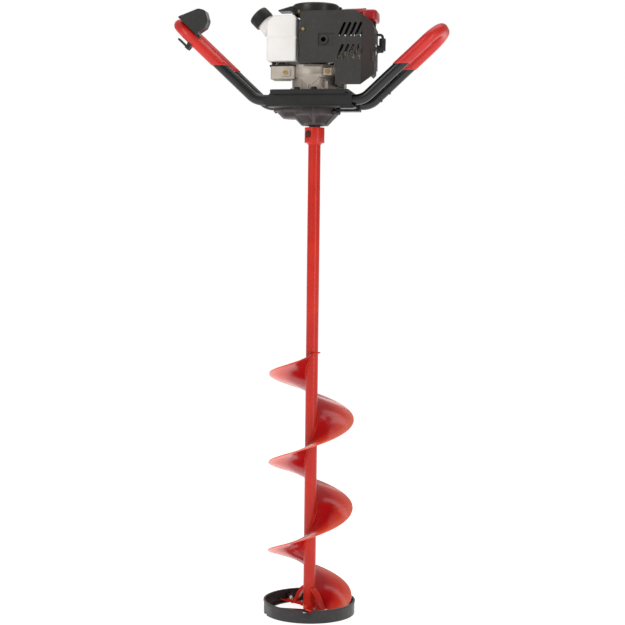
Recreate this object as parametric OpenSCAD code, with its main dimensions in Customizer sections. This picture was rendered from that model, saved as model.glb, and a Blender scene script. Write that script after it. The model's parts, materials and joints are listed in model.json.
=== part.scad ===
// Hand-held power auger: engine head on a reduction gearbox, handlebar loops,
// one long tube with a helical flight, and a guard ring round the cutting head.
// The auger axis is Z, pointing up, and the guard stands on z = 0. The front faces -Y,
// the right is +X. Heights are measured from the foot of the guard.

/* [Auger] */
// outside diameter of the helical flight
auger_d = 199.2; // [190:0.2:200]
// rise of the flight in one turn
flight_pitch = 207.8; // [190:0.2:225]
// thickness of the flight strip
flight_t = 3.2; // [2.4:0.2:4]
// outside diameter of the auger tube
tube_d = 28.6; // [27:0.1:30]
// outside diameter of the drive collar
collar_d = 46; // [42:1:50]

/* [Guard] */
// outside diameter of the guard ring
guard_d = 213; // [211:1:220]
// height of the guard ring
guard_h = 30; // [26:1:32]
// wall of the guard ring
guard_wall = 3; // [2:0.5:4]

/* [Handles] */
// half the distance between the two cross grips
handle_reach = 306.5; // [300:0.5:315]
// half the distance between the two legs of a loop
leg_half_gap = 62; // [60:1:64]
// outside diameter of the handlebar tube
bar_d = 24.4; // [22:0.2:24.6]
// thickness of the dipped coating
grip_t = 1.3; // [0.8:0.1:2]

/* [Engine] */
// radius of the starter cover
cover_r = 54; // [53:0.5:56]
// depth of the shroud in front of the axis
shroud_front = 85; // [82:1:90]
// outside diameter of the fuel cap
cap_d = 49; // [46:1:52]
// wall of moulded covers
skin = 2.5; // [2:0.5:3]

/* [Hidden] */
$fn = 48;
auger_r = auger_d / 2;
tube_r = tube_d / 2;
collar_r = collar_d / 2;
guard_r = guard_d / 2;
bar_r = bar_d / 2;
grip_r = bar_r + grip_t;
cap_r = cap_d / 2;
// radial gap round fixed parts, and round turning parts
fit = 0.02;
run_gap = 0.05;

// heights of the joints between the main parts
split_z = 1174;
case_top = 1206;
plate_top = 1212;
crankcase_z = 1243;
block_z = 1271;
block_top = 1350;
cover_z = 1388.2;
cover_top = 1408.5;
tank_z = 1278.5;
// axis height of the horizontal cylinder
cyl_z = 1310;
// radius of the crankshaft ends
journal_r = 8.5;

red = [0.80, 0.14, 0.13];
grip_red = [0.82, 0.18, 0.15];
handle_red = [0.72, 0.14, 0.16];
bulb_red = [0.75, 0.20, 0.12];
black = [0.07, 0.07, 0.07];
coal = [0.20, 0.19, 0.18];
cast = [0.27, 0.23, 0.23];
alu = [0.72, 0.70, 0.66];
steel = [0.62, 0.62, 0.63];
dark_steel = [0.30, 0.29, 0.29];
zinc = [0.80, 0.78, 0.72];
brass = [0.72, 0.58, 0.30];
white = [0.95, 0.94, 0.92];
rubber = [0.09, 0.09, 0.09];
rope_white = [0.85, 0.83, 0.78];
hose_amber = [0.55, 0.50, 0.30];
foam = [0.60, 0.48, 0.30];

// ---------- shared shapes ----------
// rods and boxes are given by their end coordinates
module rod_z(radius, from, to) { translate([0, 0, from]) cylinder(r = radius, h = to - from); }
module rod_x(radius, from, to, y, z) {
  translate([from, y, z]) rotate([0, 90, 0]) cylinder(r = radius, h = to - from);
}
module rod_y(radius, from, to, x, z) {
  translate([x, from, z]) rotate([-90, 0, 0]) cylinder(r = radius, h = to - from);
}
module hex_z(radius, from, to) {
  translate([0, 0, from]) cylinder(r = radius, h = to - from, $fn = 6);
}
module hex_x(radius, from, to, y = 0, z = 0) {
  translate([from, y, z]) rotate([0, 90, 0]) cylinder(r = radius, h = to - from, $fn = 6);
}
module tube_z(outer, inner, from, to) {
  difference() {
    rod_z(outer, from, to);
    rod_z(inner, from - 1, to + 1);
  }
}
// coaxial rods from rows of [radius, from, to]
module rods_z(rows) { for (row = rows) rod_z(row[0], row[1], row[2]); }
module box(x0, x1, y0, y1, z0, z1) {
  translate([x0, y0, z0]) cube([x1 - x0, y1 - y0, z1 - z0]);
}
// slabs with four rounded edges, parallel to Y or to Z
module slab_y(x0, x1, y0, y1, z0, z1, radius) {
  box(x0 + radius, x1 - radius, y0, y1, z0, z1);
  box(x0, x1, y0, y1, z0 + radius, z1 - radius);
  for (x = [x0 + radius, x1 - radius]) for (z = [z0 + radius, z1 - radius])
    rod_y(radius, y0, y1, x, z);
}
module slab_z(x0, x1, y0, y1, z0, z1, radius) {
  box(x0 + radius, x1 - radius, y0, y1, z0, z1);
  box(x0, x1, y0 + radius, y1 - radius, z0, z1);
  for (x = [x0 + radius, x1 - radius]) for (y = [y0 + radius, y1 - radius])
    translate([x, y, 0]) rod_z(radius, z0, z1);
}
// plate with an [x, z] outline, from y = rear towards the front
module plate_y(outline, rear, depth) {
  translate([0, rear, 0]) rotate([90, 0, 0]) linear_extrude(height = depth) polygon(outline);
}
module around(angles) { for (angle = angles) rotate([0, 0, angle]) children(); }
module ring(angles, radius) { around(angles) translate([radius, 0, 0]) children(); }

// round cord along a smoothed path; away is any direction the path never runs along
cord_steps = 5;
cord_sides = 10;
function unit(vector) = vector / norm(vector);
function spline(path, i, t) = let(
    before = path[max(i - 1, 0)],
    start = path[i],
    end = path[i + 1],
    after = path[min(i + 2, len(path) - 1)])
  0.5 * (2 * start + (end - before) * t + (2 * before - 5 * start + 4 * end - after) * t * t
    + (3 * start - before - 3 * end + after) * t * t * t);
module cable(path, radius, away) {
  centres = concat(
    [for (i = [0 : len(path) - 2]) for (k = [0 : cord_steps - 1]) spline(path, i, k / cord_steps)],
    [path[len(path) - 1]]);
  last = len(centres) - 1;
  end = last * cord_sides;
  points = [for (i = [0 : last])
    let(along = unit(centres[min(i + 1, last)] - centres[max(i - 1, 0)]),
      across = unit(cross(along, away)),
      up = cross(across, along))
    for (k = [0 : cord_sides - 1]) let(angle = k * 360 / cord_sides)
      centres[i] + radius * (cos(angle) * across + sin(angle) * up)];
  faces = concat(
    [for (i = [0 : last - 1]) for (k = [0 : cord_sides - 1])
      let(here = i * cord_sides + k, next = i * cord_sides + (k + 1) % cord_sides)
      each [[here, next, next + cord_sides], [here, next + cord_sides, here + cord_sides]]],
    [for (k = [1 : cord_sides - 2]) [0, k + 1, k]],
    [for (k = [1 : cord_sides - 2]) [end, end + k, end + k + 1]]);
  polyhedron(points = points, faces = faces, convexity = 6);
}

// involute gears, one tooth centred on +X, thinned by the backlash at the pitch circle
flank_angle = 25;
backlash = 0.11;
function involute(angle) = tan(angle) * 180 / PI - angle;
function roll(base_r, radius) = radius <= base_r ? 0 : involute(acos(base_r / radius));
function half_tooth(size, teeth, radius) = let(pitch_r = size * teeth / 2)
  90 / teeth - backlash / pitch_r * 180 / PI
    + involute(flank_angle) - roll(pitch_r * cos(flank_angle), radius);
function gear_outline(size, teeth) = let(
    pitch_r = size * teeth / 2,
    root_r = pitch_r - 1.22 * size,
    tip_r = pitch_r + 0.98 * size,
    base_r = max(root_r + 0.2, pitch_r * cos(flank_angle)),
    radii = [root_r, base_r, pitch_r, (pitch_r + tip_r) / 2, tip_r])
  [for (i = [0 : teeth - 1]) for (side = [-1, 1]) for (k = [0 : 4]) let(
      radius = radii[side < 0 ? k : 4 - k],
      angle = i * 360 / teeth + side * half_tooth(size, teeth, radius))
    [radius * cos(angle), radius * sin(angle)]];
module solid_gear(size, teeth, height) {
  linear_extrude(height = height) polygon(gear_outline(size, teeth));
}
module gear(size, teeth, height, bore) {
  difference() {
    solid_gear(size, teeth, height);
    translate([0, 0, -1]) cylinder(r = bore, h = height + 2);
  }
}

// ---------- auger ----------
tube_z0 = 24;
tube_z1 = 1105;
tube_wall = 3;
module auger_tube() {
  color(red) difference() {
    tube_z(tube_r, tube_r - tube_wall, tube_z0, tube_z1);
    around([0, 180]) rod_x(3, 0, 3, 0, 640);
  }
}

// the flight passes flight_ref_z at flight_ref_angle
flight_ref_z = 352.2;
flight_ref_angle = 190;
flight_z0 = 15.7;
flight_z1 = 612;
flight_step = 6;
// the last part of the strip narrows to end_width over end_sweep degrees
end_sweep = 80;
end_width = 5;
function flight_z(angle) = flight_ref_z + flight_pitch * (angle - flight_ref_angle) / 360;
function flight_angle(z) = flight_ref_angle + (z - flight_ref_z) / flight_pitch * 360;
flight_a0 = flight_angle(flight_z0);
flight_a1 = flight_angle(flight_z1);
flight_count = floor((flight_a1 - flight_a0) / flight_step);
// keeps the chords of the inner edge clear of the tube
flight_inner = (tube_r + 0.01) / cos(flight_step / 2);
function flight_outer(angle) = let(root = flight_inner + end_width, start = flight_a1 - end_sweep)
  angle > start
    ? root + (auger_r - root) * (1 - pow((angle - start) / end_sweep, 2))
    : auger_r;
module auger_flighting() {
  half = flight_t / 2;
  end = flight_count * 4;
  points = [for (i = [0 : flight_count])
    let(angle = flight_a0 + i * (flight_a1 - flight_a0) / flight_count,
      outer = flight_outer(angle), z = flight_z(angle))
    for (corner = [[flight_inner, -half], [outer, -half], [outer, half], [flight_inner, half]])
      [corner[0] * cos(angle), corner[0] * sin(angle), z + corner[1]]];
  faces = concat([[3, 2, 1], [3, 1, 0]],
    [for (i = [0 : flight_count - 1]) for (k = [0 : 3])
      let(here = i * 4 + k, next = i * 4 + (k + 1) % 4)
      each [[here, next, here + 4], [next, next + 4, here + 4]]],
    [[end, end + 1, end + 2], [end, end + 2, end + 3]]);
  color(red) polyhedron(points = points, faces = faces, convexity = 8);
}

blade_angles = [-33, 147];
blade_bolt_x = [32, 64];
blade_bolt_y = -12;
blade_bolt_hole = 3 + fit;
// top face [x, y] of an arm
arm_outline = [[6, -20], [54, -24], [74, -18], [74, -0.6], [6, -0.6]];
// upright web [outward, z] beside each arm
web_outline = [
  [13, 60], [24, 58], [34, 50], [42, 38], [48, 26], [56, 14],
  [48, 13.6], [40, 24], [33, 35], [26, 44], [19, 50], [13, 52]];
// [z, y] section of a blade
blade_section = [[0, -27], [3, -20], [3, -3], [0, -3]];
// frames of both arms: x outward, tilted so the -y edge is low
module on_arms() { around(blade_angles) translate([0, 0, 13.2]) rotate([16, 0, 0]) children(); }
module at_blade_bolts() { on_arms() for (x = blade_bolt_x) translate([x, blade_bolt_y, 0]) children(); }
module cutting_head() {
  color(red) difference() {
    union() {
      rod_z(tube_r, 8, tube_z0);
      rod_z(tube_r - tube_wall - 0.1, 20, 60);
      translate([0, 0, 4]) cylinder(r1 = 2, r2 = 10, h = 8);
      on_arms() linear_extrude(height = 4) polygon(arm_outline);
      around(blade_angles) plate_y(web_outline, -1.6, 9);
    }
    tube_z(tube_r + fit + 0.1, tube_r - tube_wall - 0.05, tube_z0, 70);
    at_blade_bolts() rod_z(blade_bolt_hole, -20, 20);
    // room for the inner bolt heads
    on_arms() translate([blade_bolt_x[0], blade_bolt_y, 4]) cylinder(r = 7, h = 12);
  }
}
module cutting_blades() {
  color(red) difference() {
    on_arms() translate([21, 0, -0.01]) rotate([0, 90, 0])
      linear_extrude(height = 76) polygon(blade_section);
    at_blade_bolts() rod_z(blade_bolt_hole, -10, 10);
  }
}
module blade_bolts() {
  color(zinc) at_blade_bolts() {
    rod_z(2.9, -4, 5);
    hex_z(5.4, 4.01, 8.01);
    rod_z(4, -4.6, -3.02);
  }
}

// ---------- guard ----------
guard_screw_angles = [103, 128];
guard_screw_r = 2;
guard_screw_z = 12;
module blade_guard() {
  color(coal) difference() {
    union() {
      tube_z(guard_r, guard_r - guard_wall, 0, guard_h);
      // flange at the foot, bead at the top
      tube_z(guard_r - guard_wall + 0.5, guard_r - 14, 0, 3);
      tube_z(guard_r + 1.2, guard_r - 1, guard_h - 4, guard_h);
      // three spokes and their hub
      around([60, 180, 300]) box(8, guard_r - 2, -6, 6, 0, 3.5);
      rod_z(16, 0, 3.5);
      around(guard_screw_angles) box(guard_r - 9, guard_r - 2, -6, 6, 0, 20);
    }
    around(guard_screw_angles)
      rod_x(guard_screw_r + fit, guard_r - 12, guard_r - 1, 0, guard_screw_z);
    // one notch in the top edge, one in the foot
    rotate([0, 0, 278]) box(guard_r - 10, guard_r + 5, -10, 10, guard_h - 6, guard_h + 2);
    rotate([0, 0, 208]) box(guard_r - 10, guard_r + 5, -7, 7, -1, 5);
  }
}
module guard_screws() {
  color(zinc) around(guard_screw_angles) {
    rod_x(guard_screw_r, guard_r - 9.5, guard_r - 1.5, 0, guard_screw_z);
    rod_x(4, guard_r - 12.5, guard_r - 9.5, 0, guard_screw_z);
  }
}

// ---------- drive ----------
collar_top = 1132;
collar_bolt_angle = 236;
collar_bolt_r = 4;
collar_bolt_z = 1117;
output_r = 11;
// [radius, from, to]
output_steps = [
  [output_r, 1107, 1132.5], [13, 1132.5, 1141], [12.5, 1141, 1157],
  [14, 1157, 1160.5], [12, 1160.5, 1173]];
module collar_bolt_hole() {
  rotate([0, 0, collar_bolt_angle]) rod_x(collar_bolt_r + fit, -30, 30, 0, collar_bolt_z);
}
module drive_collar() {
  color(red) difference() {
    union() {
      rod_z(collar_r, 1097, collar_top);
      translate([0, 0, 1093]) cylinder(r1 = tube_r + 1, r2 = tube_r + 4, h = 4);
    }
    rod_z(tube_r + fit, 1090, tube_z1);
    rod_z(output_r + fit, 1104, 1140);
    collar_bolt_hole();
    // seats for the bolt head and the nut
    rotate([0, 0, collar_bolt_angle]) {
      rod_x(8.6, collar_r - 6, collar_r + 5, 0, collar_bolt_z);
      rod_x(8.6, -collar_r - 5, -collar_r + 5, 0, collar_bolt_z);
    }
  }
}
module collar_bolt() {
  color(dark_steel) rotate([0, 0, collar_bolt_angle]) translate([0, 0, collar_bolt_z]) {
    rod_x(collar_bolt_r, -collar_r + 1, collar_r - 5, 0, 0);
    hex_x(6.6, collar_r - 6, collar_r - 1.5);
    hex_x(6.6, -collar_r + 1, -collar_r + 5);
  }
}
module output_shaft() {
  color(dark_steel) difference() {
    rods_z(output_steps);
    collar_bolt_hole();
  }
}

// the input pinion drives the large idler wheel, whose pinion drives the output gear
slow_size = 1.25;
fast_size = 1;
output_teeth = 60;
idler_pinion_teeth = 12;
idler_teeth = 76;
input_teeth = 14;
idler_x = -slow_size * (output_teeth + idler_pinion_teeth) / 2;
// shaft radii at the idler's lower and upper bearings
idler_low_r = 5;
idler_top_r = 7.5;
input_r = 7.5;
sixths = [0 : 60 : 300];
module at_idler() { translate([idler_x, 0, 0]) children(); }
module output_gear() {
  color(steel) difference() {
    translate([0, 0, 1161]) gear(slow_size, output_teeth, 11.5, 12 + fit);
    rotate([0, 0, 30]) ring(sixths, 24) rod_z(5.5, 1150, 1180);
  }
}
module idler_gear() {
  color(steel) at_idler() {
    difference() {
      rotate([0, 0, 180 / idler_teeth]) translate([0, 0, 1177])
        gear(fast_size, idler_teeth, 8, 7.4);
      ring(sixths, 24) rod_z(5.5, 1150, 1190);
    }
    rotate([0, 0, 180 / idler_pinion_teeth]) translate([0, 0, 1162.4])
      solid_gear(slow_size, idler_pinion_teeth, 11.8);
    rod_z(idler_low_r, 1156.4, 1162.6);
    rod_z(idler_top_r, split_z, 1194);
  }
}
module input_pinion() {
  color(steel) {
    translate([0, 0, 1176.4]) solid_gear(fast_size, input_teeth, 9.6);
    rod_z(input_r, 1185.8, 1219);
  }
}

// ---------- gearbox ----------
lobe_r = 54;
idler_lobe_r = 51;
seal_r = 20;
output_bearing_r = 26;
idler_bearing_r = 12;
input_bearing_r = 16;
case_screw_r = 2;
// [x, y] of the case screws
case_screws = [[49, 0], [24.5, 42.4], [24.5, -42.4], [-91.5, 0], [-68.5, 40.3], [-68.5, -40.3]];
// [radius, z] of the ribs under the lower case
case_rib = [[26, 1137], [32.5, 1137], [56.5, 1161], [56.5, 1173.9], [45, 1173.9], [45, 1156]];
plug_y = -26;
plug_z = 1167;
plug_r = 5;
module at_case_screws() { for (spot = case_screws) translate([spot[0], spot[1], 0]) children(); }
module gearcase_lower() {
  color(cast) difference() {
    union() {
      translate([0, 0, 1137]) cylinder(r1 = 30.5, r2 = lobe_r, h = 23.5);
      rod_z(lobe_r, 1160.5, split_z);
      translate([idler_x, 0, 1153]) cylinder(r1 = 29, r2 = 44, h = 15);
      at_idler() rod_z(idler_lobe_r, 1168, split_z);
      box(idler_x, 0, -50.5, 50.5, 1168, split_z);
      rotate([0, 0, -84]) around(sixths) plate_y(case_rib, 3.5, 7);
    }
    rod_z(seal_r + fit, 1130, 1141);
    rod_z(output_bearing_r + fit, 1141, 1158);
    rod_z(44, 1158, 1180);
    at_idler() rod_z(idler_bearing_r + fit, 1156, 1164);
    at_idler() rod_z(14, 1162, 1180);
    box(idler_x, 0, -8, 8, 1162, 1180);
    at_case_screws() rod_z(case_screw_r + fit, 1165, 1176);
    rod_x(plug_r + fit, 40, 70, plug_y, plug_z);
  }
}
module gearcase_upper() {
  color(cast) difference() {
    intersection() {
      union() {
        rod_z(lobe_r, split_z, case_top);
        at_idler() rod_z(idler_lobe_r, split_z, case_top);
        box(idler_x, 0, -idler_lobe_r, idler_lobe_r, split_z, case_top);
      }
      // flats beside the two clamp bars
      box(-110, 60, -46.4, 46.4, 1170, 1210);
    }
    at_idler() rod_z(42, 1173, 1187);
    rod_z(14, 1173, 1187);
    at_idler() rod_z(idler_bearing_r + fit, 1186, 1195);
    rod_z(input_bearing_r + fit, 1188, 1199);
    rod_z(9, 1180, 1210);
    at_case_screws() {
      rod_z(case_screw_r + fit, 1170, 1210);
      rod_z(3.8, 1201, 1210);
    }
  }
}
module gearcase_screws() {
  color(zinc) at_case_screws() {
    rod_z(case_screw_r, 1165.5, 1201);
    rod_z(3.6, 1201, 1205);
  }
}
module shaft_seal() { color(rubber) tube_z(seal_r, 13 + run_gap, 1137.2, 1141); }
module gearbox_bearings() {
  color(steel) {
    tube_z(output_bearing_r, 12.5 + run_gap, 1141, 1156);
    at_idler() tube_z(idler_bearing_r, idler_low_r + run_gap, 1156, 1160.8);
    at_idler() tube_z(idler_bearing_r, idler_top_r + run_gap, 1187, 1195);
    tube_z(input_bearing_r, input_r + run_gap, 1188, 1198);
  }
}
module grease_plug() {
  color(black) {
    rod_x(plug_r, 46, 56, plug_y, plug_z);
    hex_x(8, 54.5, 63.5, plug_y, plug_z);
  }
}

// ---------- clamp bars and top plate ----------
clamp_x0 = -108;
clamp_x1 = 97.4;
clamp_half = 15.4;
plate_half_y = 83;
plate_bolt_x = [-31, 8];
plate_bolt_r = 4;
strap_screw_x = [76, 90];
strap_screw_r = 2.5;
// height of the horizontal handlebar feet
bar_z = 1190;
// [x, z] side outlines
clamp_outline = [
  [clamp_x0 + 12, split_z], [clamp_x1, split_z], [clamp_x1, case_top],
  [clamp_x0 + 19, case_top], [clamp_x0 + 1, 1183]];
strap_outline = [[70, 1170], [99, 1170], [105, 1172], [105, split_z], [70, split_z]];
module at_plate_bolts() {
  for (side = [-1, 1]) for (x = plate_bolt_x) translate([x, side * leg_half_gap, 0]) children();
}
// the bar at the front; the rear one is its mirror image
module clamp_bar() {
  mid_y = -leg_half_gap;
  difference() {
    union() {
      plate_y(clamp_outline, mid_y + clamp_half, 2 * clamp_half);
      for (z = [1177, 1203]) rod_x(1.2, clamp_x0 + 20, clamp_x1 - 1, mid_y - clamp_half, z);
    }
    rod_x(bar_r + fit, clamp_x0 - 5, -44, mid_y, bar_z);
    rod_x(bar_r + fit, 24, clamp_x1 + 5, mid_y, bar_z);
    for (x = plate_bolt_x) translate([x, mid_y, 0]) rod_z(plate_bolt_r + fit, 1180, 1210);
    for (x = strap_screw_x) translate([x, mid_y, 0]) rod_z(strap_screw_r + fit, 1170, 1177);
  }
}
// plate under the right end of the front bar
module clamp_strap() {
  plate_y(strap_outline, -leg_half_gap + 14, 28);
  for (x = strap_screw_x) translate([x, -leg_half_gap, 0]) rod_z(strap_screw_r, 1170, 1177);
}
module clamp_bars() {
  color(black) clamp_bar();
  color(black) mirror([0, 1, 0]) clamp_bar();
  color(black) clamp_strap();
}
module top_plate() {
  groove = leg_half_gap + 15.5;
  color(black) difference() {
    union() {
      slab_z(-90, 90, -plate_half_y, plate_half_y, case_top, plate_top, 6);
      for (side = [-1, 1])
        box(-84, 84, side * plate_half_y - 2.4, side * plate_half_y + 2.4, 1202, plate_top);
    }
    // clearance beside the outer faces of the clamp bars
    box(-95, 95, -groove - 2.2, -groove, 1200, case_top);
    box(-95, 95, groove, groove + 2.2, 1200, case_top);
    rod_z(41.5, 1200, 1220);
    at_plate_bolts() rod_z(plate_bolt_r + fit, 1200, 1220);
  }
}
module plate_bolts() {
  gearcase_screws();
  color(black) at_plate_bolts() {
    rod_z(plate_bolt_r, 1181, plate_top);
    rod_z(8, plate_top, 1213.6);
    hex_z(7, 1213.6, 1219);
  }
}

// ---------- handles ----------
// both loops are drawn on the +X side, then the left one is mirrored
leg_tilt = 43;
bend_r = 42;
bend_step = 7.1666;
loop_r = 45;
bar_wall = 1.8;
hose_sides = 20;
// x where the lines of foot and leg would cross
knee_x = 125;
// the right loop is clamped a little further in
right_shift = -4.5;
// the left loop reaches further out than the right one
reach_offset = 9.5;
// inner ends of the feet
left_foot_x = 45;
right_foot_x = 25;
// lower end of the dipped grips
dip_z = 1270;
knee_tangent = bend_r * tan(leg_tilt / 2);
leg_x = knee_x + knee_tangent * cos(leg_tilt);
leg_z = bar_z + knee_tangent * sin(leg_tilt);
// side is 1 for the left loop, -1 for the right; crown_x and crown_z mark the leg's top
function leg_len(side) = (handle_reach + side * reach_offset - leg_x) / cos(leg_tilt) - loop_r;
function crown_x(side) = leg_x + leg_len(side) * cos(leg_tilt);
function crown_z(side) = leg_z + leg_len(side) * sin(leg_tilt);
leg_along = [cos(leg_tilt), 0, sin(leg_tilt)];
leg_up = [-sin(leg_tilt), 0, cos(leg_tilt)];

// paths are lists of stations: [centre, outward, upward]; row is -1 in front, 1 behind
function foot(row) = [for (bend = [0 : bend_step : leg_tilt + 0.1])
  [[knee_x - knee_tangent + bend_r * sin(bend), row * leg_half_gap,
    bar_z + bend_r * (1 - cos(bend))],
   [0, row, 0], [-sin(bend), 0, cos(bend)]]];
function crown(side) = [for (row = [-1, 1]) for (i = [0 : 10]) let(
    angle = (row < 0 ? 0 : 90) + i * 9,
    outward = sin(angle) * leg_along - cos(angle) * [0, 1, 0],
    centre = [crown_x(side), row * (leg_half_gap - loop_r), crown_z(side)])
  [centre + loop_r * outward, outward, leg_up]];
function reversed(list) = [for (i = [len(list) - 1 : -1 : 0]) list[i]];
function bar_path(foot_x, side) = concat(
  [[[foot_x, -leg_half_gap, bar_z], [0, -1, 0], [0, 0, 1]]],
  foot(-1), crown(side), reversed(foot(1)),
  [[[foot_x, leg_half_gap, bar_z], [0, 1, 0], [0, 0, 1]]]);
function grip_end(row) = [
  [leg_x, row * leg_half_gap, leg_z] + (dip_z - leg_z) / sin(leg_tilt) * leg_along,
  [0, row, 0], leg_up];
function grip_path(side) = concat([grip_end(-1)], crown(side), [grip_end(1)]);

// hollow tube along a path of stations; the outer skin's points come first
module hose(path, outer, inner) {
  count = len(path);
  turn = hose_sides;
  skin_size = count * turn;
  end = (count - 1) * turn;
  points = [for (radius = [outer, inner]) for (station = path) for (k = [0 : turn - 1])
    let(angle = k * 360 / turn)
    station[0] + radius * (cos(angle) * station[1] + sin(angle) * station[2])];
  faces = concat(
    [for (i = [0 : count - 2]) for (k = [0 : turn - 1])
      let(here = i * turn + k, next = i * turn + (k + 1) % turn)
      each [[here, next, next + turn], [here, next + turn, here + turn]]],
    [for (i = [0 : count - 2]) for (k = [0 : turn - 1])
      let(here = skin_size + i * turn + k, next = skin_size + i * turn + (k + 1) % turn)
      each [[here, next + turn, next], [here, here + turn, next + turn]]],
    [for (k = [0 : turn - 1]) let(here = k, next = (k + 1) % turn)
      each [[here, skin_size + here, skin_size + next], [here, skin_size + next, next]]],
    [for (k = [0 : turn - 1]) let(here = end + k, next = end + (k + 1) % turn)
      each [[here, next, skin_size + next], [here, skin_size + next, skin_size + here]]]);
  polyhedron(points = points, faces = faces, convexity = 8);
}
module handlebar(foot_x, side) { hose(bar_path(foot_x, side), bar_r, bar_r - bar_wall); }
module grip(side) { hose(grip_path(side), grip_r, bar_r + 0.005); }
module right_handlebar() {
  color(black) translate([right_shift, 0, 0]) handlebar(right_foot_x - right_shift, -1);
}
module left_handlebar() { color(black) mirror([1, 0, 0]) handlebar(left_foot_x, 1); }
module hand_grips() {
  color(grip_red) mirror([1, 0, 0]) grip(1);
  color(grip_red) translate([right_shift, 0, 0]) grip(-1);
}
// two collars on the right loop's rear leg, each with a small block
module cable_studs() {
  color(black) for (along = [6, 32])
    translate([right_shift, leg_half_gap, 0] + [leg_x, 0, leg_z] + along * leg_along)
      rotate([0, 90 - leg_tilt, 0]) difference() {
        union() {
          cylinder(r = bar_r + 2, h = 5);
          translate([-bar_r - 5, -3, 0]) cube([6, 6, 5]);
        }
        rod_z(bar_r + 0.01, -1, 7);
      }
}

// ---------- throttle, on the left loop's front leg ----------
pivot_x = -16;
pivot_z = -20.5;
pivot_r = 2;
// [x, z] in the leg's frame
throttle_outline = [
  [44, 13.6], [46, 15], [45.5, 17], [25, 58], [21.5, 61.5], [12, 66.5], [7, 66.5],
  [-9, 57], [-13, 52], [-17.5, 39], [-13, 22], [-16, 13.6]];
// frame at the leg's top: x down the leg towards the axis, z square to it, y kept
module on_leg() {
  translate([-crown_x(1), -leg_half_gap, crown_z(1)])
    rotate([0, leg_tilt, 0]) mirror([1, 0, 0]) children();
}
module lever_pin() {
  color(zinc) on_leg() {
    rod_y(pivot_r, -8.6, 8.6, pivot_x, pivot_z);
    rod_y(3.2, -10.4, -8.6, pivot_x, pivot_z);
  }
}
module throttle_housing() {
  lever_pin();
  color(black) on_leg() difference() {
    union() {
      plate_y(throttle_outline, 17, 30);
      rod_x(grip_r + 3.2, -21, -9, 0, 0);
      // ears for the lever pin
      for (y = [-8.4, 5.4]) box(-21, -11, y, y + 3, -25.5, -10);
    }
    rod_x(grip_r + fit, -30, 40, 0, 0);
    box(-22, -8, -30, -8.6, -30, 13.5);
    rod_y(pivot_r + fit, -12, 12, pivot_x, pivot_z);
    box(0, 14.2, 12, 18, 40, 48);
  }
}
module throttle_lever() {
  color(black) on_leg() difference() {
    union() {
      rod_y(3.5, -5.2, 5.2, pivot_x, -20.6);
      box(pivot_x, 12, -5.2, 5.2, -24, -19.2);
      rod_y(2.4, -5.2, 5.2, 12, -21.6);
    }
    rod_y(pivot_r + run_gap, -12, 12, pivot_x, pivot_z);
  }
}
module stop_switch() {
  color(grip_red) on_leg() {
    box(0.1, 9, 12.1, 18.4, 40.1, 47.9);
    box(3, 6, 12.1, 20, 40.1, 47.9);
  }
}
// [x, y, z] points from the lever round the gearbox to the carburettor
throttle_path = [
  [-crown_x(1) + 15.6, -45.6, crown_z(1) - 14.5], [-260, -45.6, crown_z(1) - 21.5],
  [-220, -45.6, 1278.6], [-170, -45.4, 1232], [-146, -44, 1209.6], [-126, -34, 1198],
  [-114, 0, 1197], [-113, 40, 1203], [-112, 64, 1206.6], [-106, 84, 1206], [-80, 90.5, 1206],
  [-50, 90.5, 1208], [-32, 88, 1225], [-27, 82, 1250], [-24, 72.6, 1280], [-22, 72.6, 1300],
  [-20, 70, 1316], [-16.6, 64, 1326]];
module throttle_cable() { color(rubber) cable(throttle_path, 2.4, [0.3, 1, -0.4]); }

// ---------- clutch ----------
lug_angles = [30, 120, 210, 300];
// [x, z] of the Y-shaped rib on the front of the housing
housing_rib = [
  [-31, crankcase_z], [20, crankcase_z], [3, 1227], [3, plate_top], [0, plate_top],
  [0, 1225], [-6, 1225], [-6, plate_top], [-9, plate_top], [-9, 1227]];
module clutch_housing() {
  color(alu) difference() {
    union() {
      rod_z(53, plate_top, crankcase_z);
      around(lug_angles) box(44, 58, -7, 7, plate_top, 1220);
      box(25, 67, 8, 44, plate_top, crankcase_z);
      plate_y(housing_rib, -47, 8);
    }
    box(-80, 80, -80, 80, 1205, plate_top + fit);
    rod_z(40.5, 1210, 1240);
    rod_z(17, 1230, 1250);
    ring(lug_angles, 54) rod_z(2.6, 1200, 1230);
    box(26, 38, -60, -38.8, 1218, 1236);
    box(31, 61, 14, 38, 1218, 1250);
  }
}
module clutch_drum() {
  color(steel) difference() {
    rod_z(39, 1214, 1236);
    rod_z(36.4, 1217, 1240);
    rod_z(input_r + fit, 1210, 1220);
    ring(sixths, 24) rod_z(6, 1210, 1220);
  }
}
// two short curved cords that bridge the gaps between the shoes
module clutch_spring() {
  color(steel) around([-9.5, 170.5])
    rotate_extrude(angle = 19) translate([32, 1228.5]) circle(r = 1.8, $fn = 24);
}
module clutch_shoes() {
  clutch_spring();
  color(dark_steel) difference() {
    union() {
      around([10, 190]) rotate_extrude(angle = 160) translate([19, 1223]) square([17, 11]);
      rod_z(15, 1223, 1234);
      around([90, 270]) box(12, 24, -5, 5, 1223, 1234);
    }
    rod_z(journal_r + fit, 1220, 1240);
    tube_z(29, 27, 1227, 1230);
  }
}

// ---------- crankcase, block and cylinder ----------
main_bearing_r = 17.5;
stud_angles = [45 : 90 : 315];
stud_ring_r = 31;
bore_r = 18;
piston_r = bore_r - 0.05;
spark_r = 5;
port_x = 75;
port_r = 7;
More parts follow.
